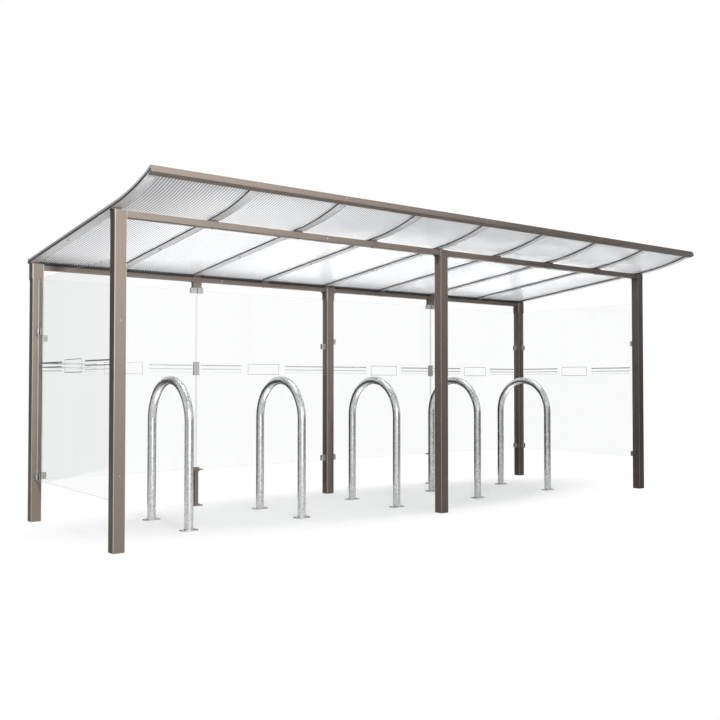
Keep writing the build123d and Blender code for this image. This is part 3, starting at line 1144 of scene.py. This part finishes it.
@dataclass
class Roof:
    """Glazing bars, fluted sheets, fascia, trims and the fixings that hold them."""

    line: RoofLine
    bar_front: float
    bar_rear: float
    sheet_low: float = 0.010
    sheet_depth: float = 0.016
    skin_thickness: float = 0.0004
    flute_pitch: float = 0.021
    web: float = 0.0008
    edge_margin: float = 0.004
    curl_steps: int = 36
    straight_step: float = 0.6
    gasket_width: float = 0.0024
    gasket_lift: float = 0.0005
    comb_inset: float = 0.008
    comb_margin: float = 0.006
    comb_tooth: float = 0.008
    tooth_share: float = 0.55
    comb_gap: float = 0.0006
    strip_half: float = 0.005
    strip_height: float = 0.007
    skirt_gap: float = 0.0005
    skirt: tuple[float, float] = (0.003, 0.009)
    skirt_top: float = 0.004
    fascia_out: float = 0.0028
    fascia_height: float = 0.018
    fascia_pair: float = 0.032
    end_shift: float = 0.004
    bolt_pair: float = 0.022
    bolt_lead: float = 0.771
    rivet: Fixing = Fixing(FastenerKind.RIVET, 0.0060, 0.0035, Finishes.dull)
    bolt: Fixing = Fixing(FastenerKind.SOCKET_SCREW, 0.0085, 0.007, Finishes.dull)

    def stations(self) -> list[float]:
        """Places along the roof: many in the curl and the two ends of the straight part.

        Returns:
            The stations, from front to rear.
        """
        start = self.line.start()
        reach = start - self.bar_front
        curl = [self.bar_front + reach * i / self.curl_steps for i in range(self.curl_steps)]
        return [*curl, start, start + self.straight_step, self.bar_rear]

    def path(self, height: float, x: float) -> list[Vector]:
        """The points of a line from front to rear at one height above the bars' underside."""
        return [self.line.at(y, height, x) for y in self.stations()]

    def sheet_recipe(self) -> Recipe:
        """The tree that sweeps a fluted section along a line.

        Returns:
            The tree.
        """
        sizes = ("Width", "Depth", "Pitch", "Web", "First")
        g = Recipe("fluted_sheet", sizes, ("Count",), ("Skin Finish", "Web Finish"))
        line = g.level_path()
        skin = g.sweep(line, g.oblong(g.given("Width"), g.given("Depth")))
        row = {
            "Count": g.given("Count"),
            "Start Location": g.vector(g.given("First")),
            "Offset": g.vector(g.given("Pitch")),
        }
        places = g.value("GeometryNodeMeshLine", row)
        one = g.oblong(g.given("Web"), g.given("Depth") - 2 * self.skin_thickness)
        inner = g.sweep(line, g.repeat(one, places))
        g.end(g.flat(g.material(skin, "Skin Finish"), g.material(inner, "Web Finish")))
        return g

    def sheets(self) -> None:
        """Makes the eight fluted sheets."""
        recipe, pitch = self.sheet_recipe(), self.flute_pitch
        for number in range(1, BAR_COUNT):
            low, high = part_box(f"roof_sheet_{number}")
            middle = (low.x + high.x) / 2
            first = (math.ceil((low.x + self.edge_margin) / pitch - 0.5) + 0.5) * pitch
            name = f"fluted_sheet_{number}"
            piece = recipe.run(
                name,
                path_mesh(name, self.path(self.sheet_low + self.sheet_depth / 2, middle)),
                Width=high.x - low.x,
                Depth=self.sheet_depth,
                Pitch=pitch,
                Web=self.web,
                First=first - middle,
                Count=int((high.x - self.edge_margin - first) / pitch) + 1,
                Skin_Finish=Finishes.skin,
                Web_Finish=Finishes.web,
            )
            take_on(piece, "multiwall_sheet", f"roof_sheet_{number}")

    def bar_gaskets(self) -> None:
        """Rubber strips on both sides of each bar, under the edges of the sheets."""
        g = Recipe("swept_strip", ("Width", "Depth"))
        strip = g.sweep(g.level_path(), g.oblong(g.given("Width"), g.given("Depth")))
        g.end(g.material(g.flat(strip)))
        depth = self.sheet_low - 2 * self.gasket_lift
        reach = BAR_HALF + self.gasket_width / 2
        middles = bar_middles()
        lines = [
            self.path(depth / 2 + self.gasket_lift, x + side * reach)
            for i, x in enumerate(middles)
            for side in (-1, 1)
            if 0 <= i + side < len(middles)
        ]
        mesh = path_mesh("bar_gaskets", *lines)
        looks = {"Depth": depth, "Finish": Finishes.seal}
        piece = g.run("bar_gaskets", mesh, Width=self.gasket_width, **looks)
        take_on(piece, "black_rubber")

    def closure_comb(self) -> None:
        """A black rubber comb and skirt on the rear beam, painted shade for the dark gap and the
        flutes' shadows below the sheets.
        """
        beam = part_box("rear_beam_left")
        y, low = beam[0].y + self.comb_inset, beam[1].z
        face = beam[0].y - self.skirt_gap
        out, drop = self.skirt
        roots, strips = [], []
        middles = bar_middles()
        for left, right in zip(middles, middles[1:]):
            start = left + BAR_HALF + self.comb_margin
            stop = right - BAR_HALF - self.comb_margin
            for back, front, bottom, top in (
                (y - self.strip_half, y + self.strip_half, low, low + self.strip_height),
                (face - out, face, low - drop, low + self.skirt_top),
            ):
                strips.append((Vector((start, back, bottom)), Vector((stop, front, top))))
            count = int((stop - start) / self.flute_pitch)
            first = (start + stop - (count - 1) * self.flute_pitch) / 2
            roots += [[Vector((first + i * self.flute_pitch, y, low))] for i in range(count)]
        self.comb_teeth(roots, self.line.at(y, self.sheet_low).z - self.comb_gap - low)
        # painted shade: black strips and a skirt over the beam, where there is only the dark gap
        base = add_object("closure_strips", box_mesh("closure_strips", strips))
        Finishes.rubber.dress(base)
        take_on(base, "black_rubber")

    def comb_teeth(self, roots: Sequence[Sequence[Vector]], height: float) -> None:
        """The comb's teeth, painted shade for the flutes' shadows over the rear beam.

        Args:
            roots: the foot of each tooth, each in a list of its own.
            height: how high they stand.
        """
        g = Recipe("closure_comb", ("Width", "Depth", "Height"))
        size = g.vector(g.given("Width"), g.given("Depth"), g.given("Height"))
        tooth = g.lift(g.value("GeometryNodeMeshCube", {"Size": size}), g.given("Height") * 0.5)
        g.end(g.material(g.flat(g.repeat(tooth, g.given()))))
        piece = g.run(
            "closure_comb",
            path_mesh("closure_comb", *roots),
            Width=self.flute_pitch * self.tooth_share,
            Depth=self.comb_tooth,
            Height=height,
            Finish=Finishes.rubber,
        )
        take_on(piece, "black_rubber")

    def spots_at(self, middles: list[float], y: float, height: float, pair: float) -> list[Vector]:
        """One place at each bar, and a pair at the joint over the middle bar.

        Args:
            middles: the bars' centre lines.
            y: the station.
            height: how far above the bars' underside they lie.
            pair: how far the pair stands to each side.

        Returns:
            The places.
        """
        return [
            self.line.at(y, height, x + shift)
            for i, x in enumerate(middles)
            for shift in ((-pair, pair) if i == BAR_COUNT // 2 else (0.0,))
        ]

    def fascia_spots(self) -> list[Spot]:
        """Places on the fascia's face, one at each bar and a pair at the joint.

        Returns:
            The places.
        """
        y = self.bar_front - self.fascia_out
        up = self.line.up(self.bar_front)
        *middles, last = bar_middles()
        places = self.spots_at(middles, y, self.fascia_height, self.fascia_pair)
        places.append(self.line.at(y, self.fascia_height, last + self.end_shift))
        return [Spot(place, Vector((0, -up.z, up.y))) for place in places]

    def bolt_spots(self) -> list[Spot]:
        """Places under the bars, between the beams.

        Returns:
            The places.
        """
        y = self.line.rear_y - self.bolt_lead
        down = -self.line.up(y)
        return [Spot(place, down) for place in self.spots_at(bar_middles(), y, 0.0, self.bolt_pair)]

    def build(self, fasteners: Fasteners) -> None:
        """Makes the roof's pieces.

        Args:
            fasteners: what sets the fixings.
        """
        coated = ("roof_fascia", "roof_rear_trim", "roof_end_caps")
        dress_cad(dict.fromkeys(coated, Finishes.coat))
        dress_cad({"roof_bar": Finishes.bar, "roof_end_gaskets": Finishes.rubber})
        self.sheets()
        self.bar_gaskets()
        self.closure_comb()
        fasteners.set("fascia_rivets", self.rivet, self.fascia_spots())
        fasteners.set("bar_bolts", self.bolt, self.bolt_spots())


# ---- glass -------------------------------------------------------------------------------------
class PaneSide(Enum):
    """Where a pane stands. The value is the way from its outer to its inner face."""

    REAR = ("rear", -1)
    LEFT = ("left", 1)
    RIGHT = ("right", -1)


@dataclass
class GlassWalls:
    """The panes, the frosted pattern on them and the screws of the clamps that hold them."""

    thickness: float = 0.008
    film: float = 0.0004
    film_gap: float = 0.0001
    dark_bands: tuple[tuple[float, float], ...] = ((1.2165, 0.0095), (1.1845, 0.0065))
    faint_band: tuple[float, float] = (1.157, 0.004)
    plate_width: float = 0.335
    plate_height: float = 0.096
    plate_middle: float = 1.187
    plate_stroke: float = 0.0045
    plate_gap: float = 0.062
    post_margin: float = 0.004
    joint_margin: float = 0.034
    end_margin: float = 0.03
    weld_limit: float = 0.00001
    screw: Fixing = Fixing(FastenerKind.SOCKET_SCREW, 0.0055, 0.003, Finishes.dull)

    def panes(self) -> list[tuple[str, PaneSide, float, float]]:
        """Each pane's node, side, and margins at its two ends.

        Returns:
            A row for each pane.
        """
        rows = []
        for number in range(1, 5):
            ends = (self.post_margin, self.joint_margin)
            start, stop = ends if number % 2 else ends[::-1]
            rows.append((f"rear_glass_{number}", PaneSide.REAR, start, stop))
        for side in (PaneSide.LEFT, PaneSide.RIGHT):
            rows.append((f"side_glass_{side.value[0]}", side, self.end_margin, self.end_margin))
        return rows

    def strip(
        self, side: PaneSide, plane: float, start: float, stop: float, low: float, high: float
    ) -> Box:
        """A thin box of film on a pane's inner face.

        Args:
            side: where the pane stands.
            plane: the middle of the pane, across its thickness.
            start: where the strip starts along the pane.
            stop: where it ends.
            low: its lower edge.
            high: its upper edge.

        Returns:
            The box's two corners.
        """
        inward = side.value[1]
        near = plane + inward * (self.thickness / 2 + self.film_gap)
        first, second = sorted((near, near + inward * self.film))
        if side is PaneSide.REAR:
            return Vector((start, first, low)), Vector((stop, second, high))
        return Vector((first, start, low)), Vector((second, stop, high))

    def pattern(self) -> None:
        """Makes the double lines and the plain outlined plates on every pane."""
        dark: list[Box] = []
        faint: list[Box] = []
        half, edge = self.plate_width / 2, self.plate_stroke
        top = self.plate_middle + self.plate_height / 2
        bottom = self.plate_middle - self.plate_height / 2
        bands = [(*band, dark) for band in self.dark_bands] + [(*self.faint_band, faint)]
        for node, side, first, last in self.panes():
            low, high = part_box(node)
            axis = 0 if side is PaneSide.REAR else 1
            plane = (low[1 - axis] + high[1 - axis]) / 2
            middle = (low[axis] + high[axis]) / 2
            left = (low[axis] + first, middle - half - self.plate_gap)
            right = (middle + half + self.plate_gap, high[axis] - last)
            for z, height, pile in bands:
                for ends in (left, right):
                    pile.append(self.strip(side, plane, *ends, z - height / 2, z + height / 2))
            for strip in (
                (middle - half, middle + half, top - edge, top),
                (middle - half, middle + half, bottom, bottom + edge),
                (middle - half, middle - half + edge, bottom + edge, top - edge),
                (middle + half - edge, middle + half, bottom + edge, top - edge),
            ):
                dark.append(self.strip(side, plane, *strip))
        for name, boxes, finish in (
            ("glass_pattern", dark, Finishes.film),
            ("glass_pattern_faint", faint, Finishes.faint_film),
        ):
            piece = add_object(name, box_mesh(name, boxes))
            finish.dress(piece)
            take_on(piece, "clear_glass")

    def lumps(self, node: str) -> list[Box]:
        """The boxes of the loose parts of one CAD piece.

        Args:
            node: the piece's name.

        Returns:
            The low and the high corner of each part.
        """
        mesh = bmesh.new()
        mesh.from_mesh(bpy.data.objects[node].data)
        bmesh.ops.remove_doubles(mesh, verts=mesh.verts[:], dist=self.weld_limit)
        left = set(mesh.verts)
        found = []
        while left:
            front = [left.pop()]
            reached = list(front)
            while front:
                for edge in front.pop().link_edges:
                    for vert in left.intersection(edge.verts):
                        left.remove(vert)
                        front.append(vert)
                        reached.append(vert)
            axes = list(zip(*(vert.co for vert in reached)))
            found.append((Vector(map(min, axes)), Vector(map(max, axes))))
        mesh.free()
        return sorted(found, key=lambda box: tuple(box[0]))

    def screw_spots(self) -> list[Spot]:
        """One place on each face of every glass clamp and of every hanger jaw.

        Returns:
            The places.
        """
        spots = []
        rows = (("rear_glass_clamps", 1), ("side_glass_clamps", 0), ("glass_top_jaws", 1))
        for node, axis in rows:
            for low, high in self.lumps(node):
                for side, end in ((-1.0, low), (1.0, high)):
                    place, facing = (low + high) / 2, Vector((0.0, 0.0, 0.0))
                    place[axis], facing[axis] = end[axis], side
                    spots.append(Spot(place, facing))
        return spots

    def build(self, fasteners: Fasteners) -> None:
        """Makes the glass walls' pieces.

        Args:
            fasteners: what sets the fixings.
        """
        cast = ("rear_glass_clamps", "side_glass_clamps", "glass_top_jaws", "glass_joint_plates")
        panes = {"rear_glass": Finishes.rear_glass, "side_glass": Finishes.side_glass}
        dress_cad(dict.fromkeys(cast, Finishes.cast) | panes)
        dress_cad(dict.fromkeys(("glass_hangers", "glass_stub_posts"), Finishes.coat))
        dress_cad({"glass_clamp_pads": Finishes.rubber})
        self.pattern()
        fasteners.set("clamp_screws", self.screw, self.screw_spots())


# ---- hoops -------------------------------------------------------------------------------------
@dataclass
class Hoops:
    """Round bent tubes welded to flat feet and anchored to the ground."""

    count: int = 5
    tube: float = 0.065
    foot_thickness: float = 0.008
    foot_length: float = 0.126
    foot_width: float = 0.066
    foot_edge: float = 0.0008
    foot_corner: float = 0.006
    corner_steps: int = 4
    hole: float = 0.013
    hole_sides: int = 20
    hole_pitch: float = 0.100
    sides: int = 44
    bend_steps: int = 48
    bead: float = 0.0032
    bead_scale: float = 170.0
    bead_sides: tuple[int, int] = (72, 10)
    nut: Fixing = Fixing(
        FastenerKind.ANCHOR_NUT, 0.0085, 0.007, Finishes.fixing, "galvanised_steel"
    )

    def recipe(self) -> Recipe:
        """The tree that makes a tube along a line and a weld bead round each end.

        Returns:
            The tree.
        """
        g = Recipe("bent_tube", ("Radius", "Bead"), ("Sides",))
        radius, bead = g.given("Radius"), g.given("Bead")
        line = g.value("GeometryNodeMeshToCurve", {0: g.given()})
        tube = g.sweep(line, g.ring(g.given("Sides"), radius))
        along, across = self.bead_sides
        weld = g.sweep(g.ring(along, radius + bead * 0.4), g.ring(across, bead), caps=False)
        points = g.value("GeometryNodeCurveToPoints", {0: line}, mode="EVALUATED")
        where = g.value("GeometryNodeInputPosition")
        height = g.value("ShaderNodeSeparateXYZ", {0: where}, 2)
        kept = {0: points, "Selection": height < self.foot_thickness + 0.001}
        ends = g.value("GeometryNodeSeparateGeometry", kept, domain="POINT")
        lump = {"Vector": where, "Scale": self.bead_scale, "Detail": 1.0}
        lump = g.value("ShaderNodeTexNoise", lump, "Color")
        span = Vector((self.bead, self.bead, self.bead / 2))
        moved = {0: lump, 1: tuple(span), 2: tuple(-span / 2)}
        push = g.value("ShaderNodeVectorMath", moved, operation="MULTIPLY_ADD")
        rough = {"Geometry": g.repeat(weld, ends), "Offset": push}
        rough = g.value("GeometryNodeSetPosition", rough)
        g.end(g.material(g.smooth(g.join(tube, rough))))
        return g

    def line(self, x: float, middle: float, reach: float, spring: float) -> list[Vector]:
        """The tube's centre line, up one leg, round the bend and down the other.

        Args:
            x: its place along the shelter.
            middle: halfway between its legs.
            reach: the bend's radius.
            spring: the height that the bend starts at.

        Returns:
            The line's points.
        """
        turns = [math.pi * i / self.bend_steps for i in range(self.bend_steps + 1)]
        bend = [
            Vector((x, middle - reach * math.cos(turn), spring + reach * math.sin(turn)))
            for turn in turns
        ]
        first, last = (Vector((x, middle + side * reach, self.foot_thickness)) for side in (-1, 1))
        return [first, *bend, last]

    def outlines(self, place: Vector) -> list[list[tuple[float, float]]]:
        """The rounded outline of one foot and its two holes, seen from above.

        Args:
            place: the middle of the foot.

        Returns:
            The plate's outline, then the holes'.
        """
        across = self.foot_length / 2 - self.foot_edge - self.foot_corner
        deep = self.foot_width / 2 - self.foot_edge - self.foot_corner
        plate = []
        for sx, sy, quarter in ((1, 1, 0), (-1, 1, 1), (-1, -1, 2), (1, -1, 3)):
            for step in range(self.corner_steps + 1):
                a = math.pi / 2 * (quarter + step / self.corner_steps)
                x = place.x + sx * across + self.foot_corner * math.cos(a)
                plate.append((x, place.y + sy * deep + self.foot_corner * math.sin(a)))
        wide = self.hole / 2 + self.foot_edge
        turns = [math.tau * k / self.hole_sides for k in range(self.hole_sides)]
        middles = [place.x + side * self.hole_pitch / 2 for side in (-1, 1)]
        return [plate] + [
            [(x + wide * math.cos(a), place.y + wide * math.sin(a)) for a in turns] for x in middles
        ]

    def feet(self, name: str, places: Sequence[Vector]) -> bpy.types.Object:
        """Flat feet with rounded edges and two anchor holes each.

        Args:
            name: the piece's name.
            places: the middle of each foot, on the ground.

        Returns:
            The piece.
        """
        curve = bpy.data.curves.new(name, "CURVE")
        curve.dimensions, curve.fill_mode = "2D", "BOTH"
        curve.extrude = self.foot_thickness / 2 - self.foot_edge
        curve.bevel_depth, curve.bevel_resolution = self.foot_edge, 1
        for outline in (outline for place in places for outline in self.outlines(place)):
            spline = curve.splines.new("POLY")
            spline.points.add(len(outline) - 1)
            for point, (x, y) in zip(spline.points, outline):
                point.co = (x, y, 0.0, 1.0)
            spline.use_cyclic_u = True
        holder = add_object(name + "_outline", curve)
        mesh = plain_mesh(holder)
        bpy.data.objects.remove(holder)
        for vertex in mesh.vertices:
            vertex.co.z += self.foot_thickness / 2
        return add_object(name, mesh)

    def build(self, fasteners: Fasteners) -> None:
        """Makes the hoops with their feet and anchors.

        Args:
            fasteners: what sets the fixings.
        """
        recipe = self.recipe()
        nuts: list[Spot] = []
        for number in range(1, self.count + 1):
            node, name = f"bike_hoop_{number}", f"hoop_{number}_tube"
            low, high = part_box(node)
            x, middle = (low.x + high.x) / 2, (low.y + high.y) / 2
            reach = (high.y - low.y - self.foot_width) / 2
            spring = high.z - self.tube / 2 - reach
            mesh = path_mesh(name, self.line(x, middle, reach, spring))
            sizes = {"Radius": self.tube / 2, "Sides": self.sides, "Bead": self.bead}
            take_on(recipe.run(name, mesh, **sizes, Finish=Finishes.zinc), "galvanised_steel", node)
            places = [Vector((x, middle + side * reach, 0.0)) for side in (-1, 1)]
            feet = self.feet(f"hoop_{number}_feet", places)
            Finishes.zinc.dress(feet)
            take_on(feet, "galvanised_steel", node)
            for place in places:
                for side in (-1, 1):
                    shift = Vector((side * self.hole_pitch / 2, 0, self.foot_thickness))
                    nuts.append(Spot(place + shift, Vector((0, 0, 1))))
        fasteners.set("hoop_anchor_nuts", self.nut, nuts)


# ---- studio ------------------------------------------------------------------------------------
@dataclass
class Studio:
    """A white floor, soft lamps and the camera."""

    eye: tuple[float, float, float] = (-4.971, -5.8865, 1.0738)
    heading: float = math.radians(52.057)
    pitch: float = math.radians(1.409)
    lens: float = 44.287
    shift: float = -0.0037
    film_width: float = 36.0
    far_limit: float = 400.0
    clear_bounces: int = 24
    floor_half: float = 150.0
    ambient: float = 0.42
    dim_ambient: float = 0.09
    floor_glow: float = 0.29
    shade_middle: float = 0.35
    shade_reach: tuple[float, float] = (0.34, 1.0)
    floor_colour: float = 0.75
    bounce_colour: float = 0.32
    # painted shade: the floor's grey for bounced light to the left and right of the shelter
    painted_shade_grey: float = 0.12

    def world(self) -> None:
        """An even light that shows as white behind the shelter and is dimmer to the sides."""
        made = bpy.data.worlds.new("white_studio")
        bpy.context.scene.world = made
        g = Shading.of(made)
        strengths = (self.dim_ambient, self.ambient, 1.0)
        dim, light, white = (g.plain("Background", Strength=strength) for strength in strengths)
        side, front, _ = g.split(g.value("ShaderNodeTexCoord", output="Generated"))
        left = 1.0 - side.between(-0.6, 0.1)
        right = side.between(-0.1, 0.3) * (1.0 - front.between(-0.5, 0.0))
        around = g.mix(left.math("MAXIMUM", right), light, dim)
        g.node("ShaderNodeOutputWorld", {"Surface": g.mix(self.seen(g), around, white)})

    @staticmethod
    def seen(g: Shading) -> Val:
        """1 for rays that show the background: straight, mirrored or through glass.

        Args:
            g: the graph of the floor or the world.

        Returns:
            The mask.
        """
        path = g.node("ShaderNodeLightPath")
        kinds = ("Camera", "Glossy", "Transmission")
        first, second, third = (Val(g, path.outputs[f"Is {kind} Ray"]) for kind in kinds)
        return first.math("MAXIMUM", second).math("MAXIMUM", third)

    def floor(self) -> None:
        """A wide white floor that keeps the shelter's shadow, with painted shade in the light it
        bounces to the sides.
        """
        half = self.floor_half
        turns = ((-1, -1), (1, -1), (1, 1), (-1, 1))
        mesh = sheet_mesh("studio_floor", *((x * half, y * half, 0.0) for x, y in turns))
        made = bpy.data.materials.new("white_floor")
        mesh.materials.append(made)
        g = Shading.of(made)
        greys = (self.floor_colour, self.bounce_colour, self.painted_shade_grey)
        matt, lit, dark = (g.plain("BsdfDiffuse", (grey,) * 3) for grey in greys)
        glow = g.value("ShaderNodeEmission", {"Strength": self.floor_glow})
        near = g.value("ShaderNodeAddShader", {0: matt, 1: glow})
        far = g.value("ShaderNodeEmission", {"Strength": 1.0})
        side, depth, _ = g.split(g.place())
        across = side * self.shade_reach[0]
        along = (depth - self.shade_middle) * self.shade_reach[1]
        reach = (across * across + along * along).math("SQRT")
        shown = g.mix(reach.between(0.55, 1.1), near, far)
        # painted shade: the floor bounces less light left of the shelter and to the right, to
        # darken the posts' sides
        away = (1.0 - side.between(-3.3, -2.7)).math("MAXIMUM", side.between(-0.5, 3.0) * 0.8)
        g.finish(g.mix(self.seen(g), g.mix(away, lit, dark), shown))
        add_object("studio_floor", mesh)

    def card(
        self, name: str, ends: Sequence[tuple[float, float]], grey: float = 0.02, top: float = 1.35
    ) -> None:
        """A grey card outside the view, which gives metal and paint their darker sides.

        Args:
            name: the card's name.
            ends: the x and y of its two lower corners.
            grey: how light it is.
            top: its height.
        """
        start, stop = ends
        lower, upper = ((*start, 0.01), (*stop, 0.01)), ((*stop, top), (*start, top))
        mesh = sheet_mesh(name, *lower, *upper)
        made = bpy.data.materials.new(name)
        mesh.materials.append(made)
        g = Shading.of(made)
        g.finish(g.value("ShaderNodeEmission", {"Strength": grey}))
        card = add_object(name, mesh)
        card.visible_camera = card.visible_diffuse = False

    def lamp(
        self,
        name: str,
        place: Sequence[float],
        aim: Sequence[float],
        size: tuple[float, float],
        power: float,
        spread: float,
    ) -> None:
        """A soft lamp with a straight-edged face.

        Args:
            name: the lamp's name.
            place: where it hangs.
            aim: the point that it shines at.
            size: the lengths of its sides.
            power: its power in watts.
            spread: how wide its light fans out, in degrees.
        """
        data = bpy.data.lights.new(name, "AREA")
        data.shape = "RECTANGLE"
        data.size, data.size_y = size
        data.energy = power
        data.spread = math.radians(spread)
        lamp = add_object(name, data)
        lamp.location = place
        lamp.rotation_euler = (Vector(aim) - Vector(place)).to_track_quat("-Z", "Y").to_euler()
        lamp.visible_camera = False

    def camera(self) -> None:
        """The camera, at eye height in front of the left end."""
        data = bpy.data.cameras.new("view")
        data.lens, data.sensor_width = self.lens, self.film_width
        data.shift_x = self.shift
        data.clip_end = self.far_limit
        made = add_object("view", data)
        made.location = self.eye
        made.rotation_euler = Euler((math.pi / 2 + self.pitch, 0.0, self.heading - math.pi / 2))
        bpy.context.scene.camera = made

    def build(self) -> None:
        """Sets the stage."""
        scene = bpy.context.scene
        scene.view_settings.view_transform = "Standard"
        scene.cycles.transparent_max_bounces = self.clear_bounces
        self.world()
        self.floor()
        self.camera()
        self.card("left_card", ((-6.2, 4.2), (-6.2, 6.0)), top=4.0)
        self.card("corner_card", ((-6.2, 6.0), (-3.4, 3.3)), top=4.0)
        self.card("back_card", ((-2.7, 1.25), (5.0, 1.25)), top=1.15)
        self.card("side_card", ((-4.2, -1.3), (-4.2, 2.7)), 0.65)
        self.card("right_card", ((-0.4, -4.3), (4.6, -1.5)), 0.20)
        self.lamp("key_lamp", (-3.7, -11.0, 3.1), (-3.0, 0.0, 2.1), (0.8, 0.8), 87.0, 42.0)
        self.lamp("under_lamp", (0.0, 0.0, 0.04), (0.0, 0.0, 2.0), (5.0, 1.2), 11.0, 70.0)
        self.lamp("sky_lamp", (0.5, 0.0, 7.5), (0.0, 0.2, 0.0), (8.0, 8.0), 320.0, 180.0)
        self.lamp("roof_lamp", (0.15, 0.1, 3.2), (0.15, 0.1, 0.0), (5.0, 1.9), 65.0, 60.0)


def main() -> None:
    """Builds the shelter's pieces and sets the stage."""
    logging.basicConfig(level=logging.INFO, format="%(name)s: %(message)s")
    fasteners = Fasteners()
    steel = SteelFrame()
    steel.build(fasteners)
    line = RoofLine(
        front_y=steel.row_y("front"),
        front_z=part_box("front_beam_left")[1].z + FRONT_PACKER,
        rear_y=steel.row_y("rear"),
        rear_z=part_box("rear_beam_left")[1].z + REAR_PACKER,
    )
    Roof(line, line.front_y - FRONT_REACH, line.rear_y + REAR_REACH).build(fasteners)
    GlassWalls().build(fasteners)
    Hoops().build(fasteners)
    Studio().build()


if __name__ == "__main__":
    main()
